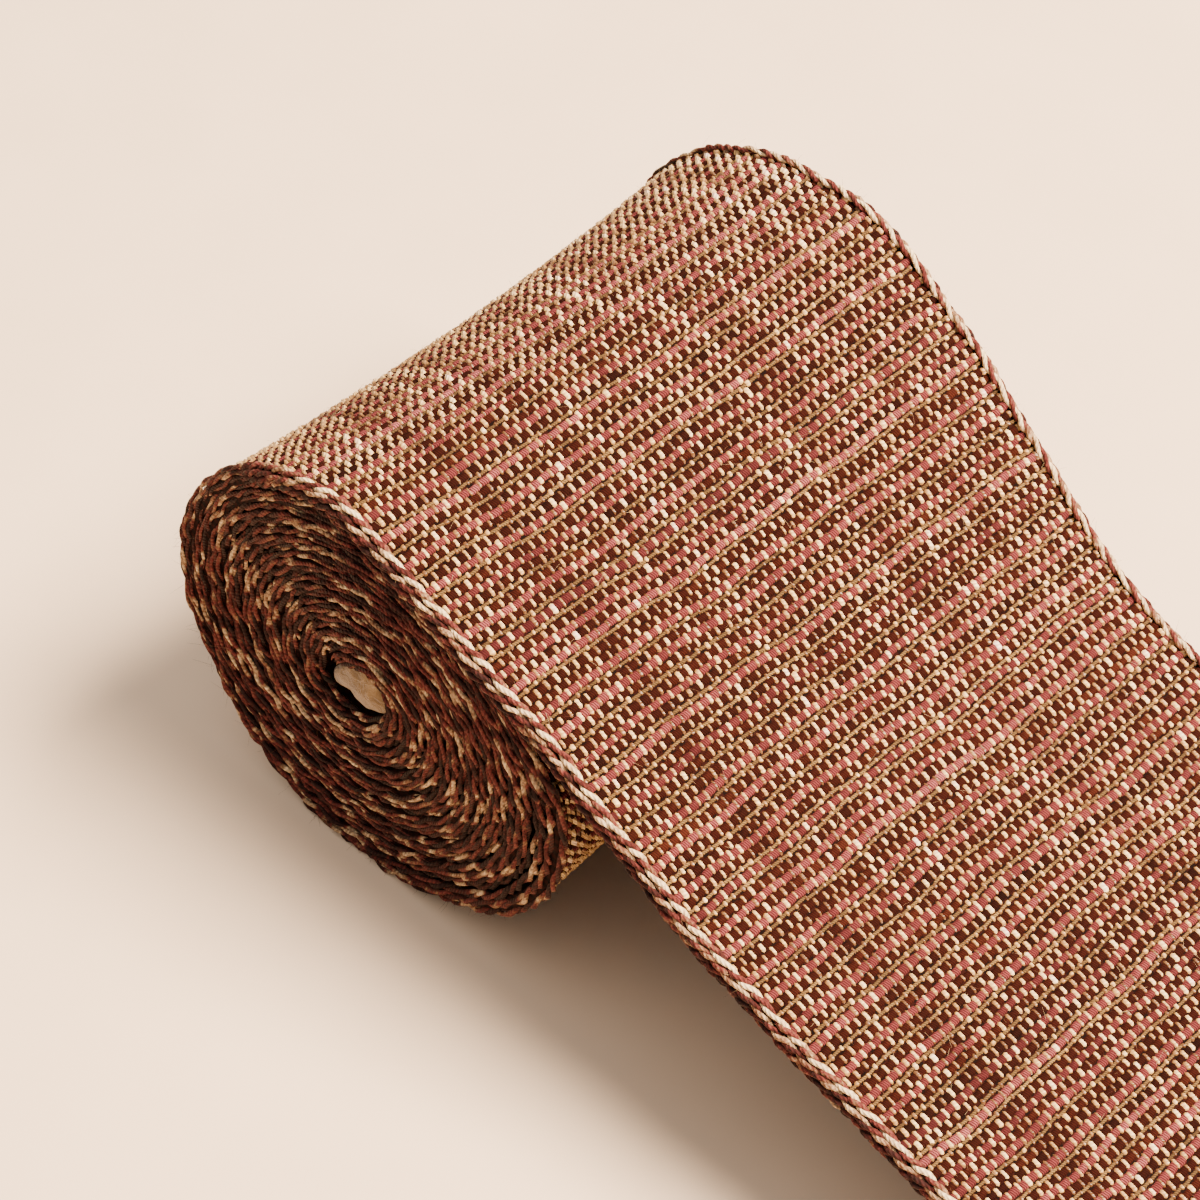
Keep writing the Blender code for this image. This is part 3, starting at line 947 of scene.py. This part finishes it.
@dataclass
class CutEnd:
    """The cut end of the tape: the warps stand out a little way past the last weft, in four layers."""
    weave: Weave
    rows_mm: tuple[float, ...] = (-0.35, -0.8, -1.25, -1.75)
    out_mm: float = 0.7
    inside_mm: float = 1.2
    base_mm: float = 0.4
    lean_mm: float = 0.22
    lift_mm: float = 0.18
    radius_mm: tuple[float, float] = (0.17, 0.26)
    rings: int = 6
    sides: int = 5
    seed: int = 91

    def build(self, finish: bpy.types.Material) -> bpy.types.Object:
        """Build each warp end as a short tube that starts inside the cloth and droops as it frays.

        Args:
            finish: the warps' material.

        Returns:
            One piece with all the warp ends.
        """
        draw = np.random.default_rng(self.seed)
        width = self.weave.path.width
        across = np.tile(self.weave.warp_across, len(self.rows_mm)) / width
        level = np.repeat(self.rows_mm, len(self.weave.warp_across)) * MM
        count = len(across)
        t = np.linspace(0.0, 1.0, self.rings)
        reach = (self.out_mm * draw.uniform(0.5, 1.5, count) + self.inside_mm) * MM
        lean = draw.normal(0.0, self.lean_mm, count) * MM / width
        lift = draw.normal(0.0, self.lift_mm, count) * MM
        out = reach[:, None] * t - self.inside_mm * MM
        base = self.weave.path.surface(np.full((count, len(t)), self.base_mm * MM),
                                       across[:, None] + lean[:, None] * t ** 2,
                                       level[:, None] + lift[:, None] * t ** 2)
        lines = base + out[..., None] * np.array((1.0, 0.0, 0.0))
        radius = draw.uniform(*self.radius_mm, count)[:, None] * MM * (1.0 - 0.75 * t ** 4)
        points = tubes(lines, radius, self.sides)
        around = np.arange(self.sides)[None, None] / self.sides
        uv = np.stack(np.broadcast_arrays(out[:, :, None] / MM, around), axis=-1)
        tone = np.broadcast_to(draw.uniform(0.35, 0.9, count)[:, None, None], points.shape[:3])
        return grid_piece("cut_warps", points, uv, tone, finish, flipped=True, closed=True)


@dataclass
class Wad:
    """The wad of cotton in the hollow: an oval rod, lumpy, with ragged round ends."""
    stations: int = 90
    sides: int = 40
    moved_mm: tuple[float, float, float] = (-1.0, 0.0, 1.0)
    halves_mm: tuple[float, float] = (4.5, 2.8)
    tilt: float = 37.0
    rounding: float = 1.6 * MM
    dent: float = 0.35 * MM
    # Waves round the rod, waves along it in radians a metre, their start, and how high they stand.
    lumps: tuple[tuple[float, float, float, float], ...] = (
        (3.0, 240.0, 0.0, 0.13), (5.0, -410.0, 1.0, 0.09), (9.0, 900.0, 0.0, 0.04))

    def build(self) -> bpy.types.Object:
        """Build the rod in its solid's box: an oval carried along +Y, swollen by waves, domed at its ends.

        Returns:
            The wad, with its finish.
        """
        low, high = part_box("core")
        centre = (np.array(low) + np.array(high)) / 2.0 + np.array(self.moved_mm) * MM
        tilt = np.radians(self.tilt)
        around = np.arange(self.sides) * 2.0 * np.pi / self.sides
        y = low[1] + (high[1] - low[1]) * np.linspace(0.0, 1.0, self.stations)
        from_end = np.minimum(y - low[1], high[1] - y)
        bare = 1.0 - np.clip(from_end / self.rounding, 0.0, 1.0)
        round_off = np.sqrt(np.clip(1.0 - bare ** 2, 0.0, 1.0))[:, None]
        lump = 1.0
        for waves, rate, start, height in self.lumps:
            lump = lump + height * np.sin(waves * around[None] + rate * y[:, None] + start)
        p = self.halves_mm[0] * MM * np.cos(around)[None] * lump * round_off
        q = self.halves_mm[1] * MM * np.sin(around)[None] * lump * round_off
        x = centre[0] + p * np.cos(tilt) - q * np.sin(tilt)
        z = centre[2] + p * np.sin(tilt) + q * np.cos(tilt)
        dent = self.dent * np.sin(2.0 * around + 0.8)[None] * round_off
        points = np.stack([x, y[:, None] + dent, z], axis=-1)
        uv = np.stack(np.broadcast_arrays(y[:, None] / MM, around[None]), axis=-1)
        return grid_piece("core_wad", points[None], uv[None], np.full(x.shape, MIDDLE_TONE)[None],
                          WadFinish().make(), closed=True)


@dataclass
class Fuzz:
    """Stray fibres that stand off the cloth, as fine curved hairs."""
    path: TapePath
    last: float
    end: float
    count: int = 3000
    first: float = 1.0 * MM
    edge_share: float = 0.3
    edge_places: tuple[float, float] = (0.004, 0.996)
    lean_mm: float = 0.55
    sunk_mm: float = 0.15
    radius_mm: float = 0.014
    sides: int = 3
    seed: int = 77

    def build(self, finish: bpy.types.Material) -> bpy.types.Object:
        """Build every hair as a thin tapering tube that leans over as it rises.

        Args:
            finish: the hairs' material.

        Returns:
            One piece with all the hairs.
        """
        draw, width = np.random.default_rng(self.seed), self.path.width
        along = draw.uniform(self.first, self.last, self.count)
        across = draw.uniform(0.0, 1.0, self.count)
        at_edge = draw.random(self.count) < self.edge_share
        across = np.where(at_edge, np.where(across < 0.6, *self.edge_places), across)
        on_end = at_edge & (draw.random(self.count) < 0.6)
        along = np.where(on_end, draw.uniform(self.last, self.end, self.count), along)
        tall = draw.gamma(2.2, 0.13, self.count) * MM
        lean_s = draw.normal(0.0, self.lean_mm, self.count) * MM
        lean_v = draw.normal(0.0, self.lean_mm, self.count) * MM / width
        outward = np.abs(lean_v) * 1.1 * np.where(across < 0.5, -1.0, 1.0)
        lean_v = np.where(at_edge, outward, lean_v)
        t = np.linspace(0.0, 1.0, 3)
        s = along[:, None] + lean_s[:, None] * t ** 1.5
        v = across[:, None] + lean_v[:, None] * t ** 1.5
        lines = self.path.surface(s, v, tall[:, None] * t - self.sunk_mm * MM)
        radius = np.broadcast_to(self.radius_mm * MM * (1.0 - 0.6 * t), (self.count, len(t)))
        points = tubes(lines, radius, self.sides)
        uv = np.zeros(points.shape[:3] + (2,))
        edge_tone, face_tone = draw.uniform(0.35, 0.75, self.count), draw.uniform(0.5, 1.0, self.count)
        tone = np.broadcast_to(np.where(at_edge, edge_tone, face_tone)[:, None, None], points.shape[:3])
        return grid_piece("fuzz", points, uv, tone, finish, flipped=True, closed=True)


@dataclass(frozen=True)
class Lamp:
    """One square soft light."""
    name: str
    place: tuple[float, float, float]
    size: float
    power: float
    colour: str


@dataclass
class Studio:
    """Floor, soft lights and the photograph's camera."""
    azimuth: float = 44.76
    elevation: float = 46.55
    camera_mm: tuple[float, float, float] = (97.56, -149.29, 236.1)
    lens_mm: float = 96.0
    sensor_mm: float = 36.0
    nearest: float = 0.01
    floor_half: float = 3.0
    aim: tuple[float, float, float] = (-0.02, 0.0, 0.02)
    lamps: tuple[Lamp, ...] = (Lamp("key", (0.45, 0.24, 0.80), 0.42, 68.0, "#FFE8CC"),
                               Lamp("fill", (-0.7, -0.7, 0.9), 0.9, 1.0, "#FFF1E4"))
    surround: str = "#FBEDDF"
    surround_from: float = 0.25
    surround_strength: tuple[float, float] = (0.04, 1.85)

    def floor(self) -> None:
        """Lay a wide pale floor just under the object."""
        half = self.floor_half
        corners = [(-half, -half, 0.0), (half, -half, 0.0), (half, half, 0.0), (-half, half, 0.0)]
        mesh = bpy.data.meshes.new("floor")
        mesh.from_pydata(corners, [], [(0, 1, 2, 3)])
        mesh.materials.append(FloorFinish().make())
        piece = bpy.data.objects.new("floor", mesh)
        bpy.context.scene.collection.objects.link(piece)

    def camera(self) -> None:
        """Set the camera where the photograph was taken from, looking along its own line of sight."""
        az, el = np.radians(self.azimuth), np.radians(self.elevation)
        back = Vector((np.sin(az) * np.cos(el), -np.cos(az) * np.cos(el), np.sin(el)))
        right = Vector((np.cos(az), np.sin(az), 0.0))
        data = bpy.data.cameras.new("photo_camera")
        data.lens = self.lens_mm
        data.sensor_width = self.sensor_mm
        data.clip_start = self.nearest
        camera = bpy.data.objects.new("photo_camera", data)
        turn = Matrix((right, back.cross(right), back)).transposed()
        camera.matrix_world = Matrix.Translation(Vector(self.camera_mm) * MM) @ turn.to_4x4()
        bpy.context.scene.collection.objects.link(camera)
        bpy.context.scene.camera = camera

    def light(self, lamp: Lamp) -> None:
        """Hang one lamp so that it looks at the roll.

        Args:
            lamp: its name, place, size, power and colour.
        """
        data = bpy.data.lights.new(lamp.name, "AREA")
        data.shape = "SQUARE"
        data.size = lamp.size
        data.energy = lamp.power
        data.color = linear(lamp.colour)[:3]
        hung = bpy.data.objects.new(lamp.name, data)
        hung.location = lamp.place
        hung.rotation_euler = (Vector(self.aim) - Vector(lamp.place)).to_track_quat("-Z", "Y").to_euler()
        bpy.context.scene.collection.objects.link(hung)

    def sky(self) -> None:
        """Surround all with a warm pale light that grows from the horizon up to overhead."""
        world = bpy.data.worlds.new("surround")
        world.use_nodes = True
        tree = world.node_tree
        toward = node(tree, "TexCoord")
        parts = node(tree, "SeparateXYZ", {"Vector": toward.outputs["Generated"]})
        low, high = self.surround_strength
        lift = node(tree, "MapRange", {"Value": parts.outputs["Z"], "From Min": self.surround_from,
                                       "From Max": 1.0, "To Min": low, "To Max": high})
        feed(tree, tree.nodes["Background"], {"Color": linear(self.surround),
                                              "Strength": lift.outputs["Result"]})
        bpy.context.scene.world = world

    def build(self) -> None:
        """Build the floor, camera, lamps and surround."""
        self.floor()
        self.camera()
        for lamp in self.lamps:
            self.light(lamp)
        self.sky()


def settle(piece: bpy.types.Object, replaced: str) -> None:
    """Join a piece to the frame.

    Args:
        piece: the piece, which rides on the root.
        replaced: the node that it stands for.
    """
    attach(piece, ROOT)
    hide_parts(replaced)
    piece.data.calc_loop_triangles()
    LOG.info("%s: %d triangles", piece.name, len(piece.data.loop_triangles))


# The outer turn and the loose end: a cream cord along the rim, and darker ones beneath it, their dark tones
# partly the yarn's own brown and rust and partly painted shade between the turns.
OUTER_EDGE = (
    Cord(0.62, 0.03, 0.27, (0.98, 0.54), 0.06, 0.5),
    Cord(0.12, 0.26, 0.26, (0.40, 0.76), 0.08, 0.6),
    Cord(0.02, 0.56, 0.28, (0.30, 0.46), 0.08, 0.6),
    Cord(0.30, 0.84, 0.28, (0.24, 0.50), 0.08, 0.6),
)
# The turns inside: dark red cords of uneven depth, flecked with cream; the deepest are darkest, partly the
# yarn's own colour and partly painted shade between the turns.
INNER_EDGE = (
    Cord(0.62, 0.04, 0.22, (0.32, 0.54), 0.10, 1.0),
    Cord(0.40, 0.32, 0.22, (0.40, 0.57), 0.16, 1.0),
    Cord(0.50, 0.59, 0.22, (0.22, 0.48), 0.16, 1.0),
    Cord(0.95, 0.84, 0.21, (0.14, 0.36), 0.14, 1.0),
)


@dataclass
class Tape:
    """The whole tape: ground cloth, thread patches on both faces, edges, cut end and stray fibres."""
    path: TapePath = field(default_factory=TapePath)
    lap: float = 10.0               # degrees that the threads run on past one whole turn
    under_stop: float = 22.0 * MM   # the underside's threads end this far before the top
    change: float = 14.0 * MM       # the edge changes from outer to inner this far past the top
    overlap: float = 1.5 * MM
    cream_past: float = 4.0 * MM
    edge_start: float = 0.2 * MM
    fine: tuple[int, int] = (3, 3)
    plain: tuple[int, int] = (3, 2)
    coarse: tuple[int, int] = (2, 2)

    def threads(self, weave: Weave, top: float, cream: bpy.types.Material) -> list[bpy.types.Object]:
        """Build the wefts and warps of both faces.

        Args:
            weave: their layout.
            top: length from the cut end to the top of the roll.
            cream: the warps' material.

        Returns:
            The pieces.
        """
        finishes = {kind: finish.make() for kind, finish in
                    ((Weft.BROWN, BROWN_WEFT), (Weft.ROSE, ROSE_WEFT), (Weft.GOLD, GOLD_WEFT))}
        outer = ThreadPatches(weave, 0.0, weave.end)
        under = ThreadPatches(weave, 0.0, top - self.under_stop, outer=False, label="under")
        pieces = []
        for kind, finish in finishes.items():
            pieces.append(outer.wefts(kind, finish, self.fine))
            pieces.append(under.wefts(kind, finish, self.coarse))
        pieces.append(ThreadPatches(weave, 0.0, top, label="loose_end").warps(cream, self.plain))
        pieces.append(ThreadPatches(weave, top, weave.end, label="roll").warps(cream, self.plain))
        pieces.append(under.warps(cream, self.coarse))
        return pieces

    def edges(self, top: float, finish: bpy.types.Material) -> list[bpy.types.Object]:
        """Build the cords of both selvedges, the outer stretch and the inner one.

        Args:
            top: length from the cut end to the top of the roll.
            finish: the cords' material.

        Returns:
            The pieces.
        """
        change, pieces = top + self.change, []
        for near in (True, False):
            outer = EdgeCords(self.path, near, self.edge_start, change + self.overlap, OUTER_EDGE,
                              pitch_mm=2.9, step_mm=0.45, label="outer", cream_until=top + self.cream_past)
            inner = EdgeCords(self.path, near, change - self.overlap, self.path.run[-1], INNER_EDGE,
                              pitch_mm=5.5, step_mm=0.60, label="inner", sides=4)
            pieces += [outer.build(finish), inner.build(finish)]
        return pieces

    def build(self) -> None:
        woven_end = self.path.at_angle(self.path.take_off + 360.0 + self.lap)
        top = self.path.at_angle(self.path.top)
        ground = GroundCloth(self.path)
        cloth = ground.build()
        settle(cloth, "tape")
        weave = Weave(self.path, woven_end)
        cream, cord = CREAM_WARP.make(), EDGE_CORD.make()
        pieces = self.threads(weave, top, cream) + self.edges(top, cord)
        pieces += [CutEnd(weave).build(cream), Fuzz(self.path, woven_end, self.path.run[-1]).build(cord)]
        for piece in pieces:
            settle(piece, "tape")


def main() -> None:
    """Build the studio, the tape and its core."""
    logging.basicConfig(level=logging.INFO, format="%(name)s: %(message)s")
    Studio().build()
    Tape().build()
    settle(Wad().build(), "core")


if __name__ == "__main__":
    main()
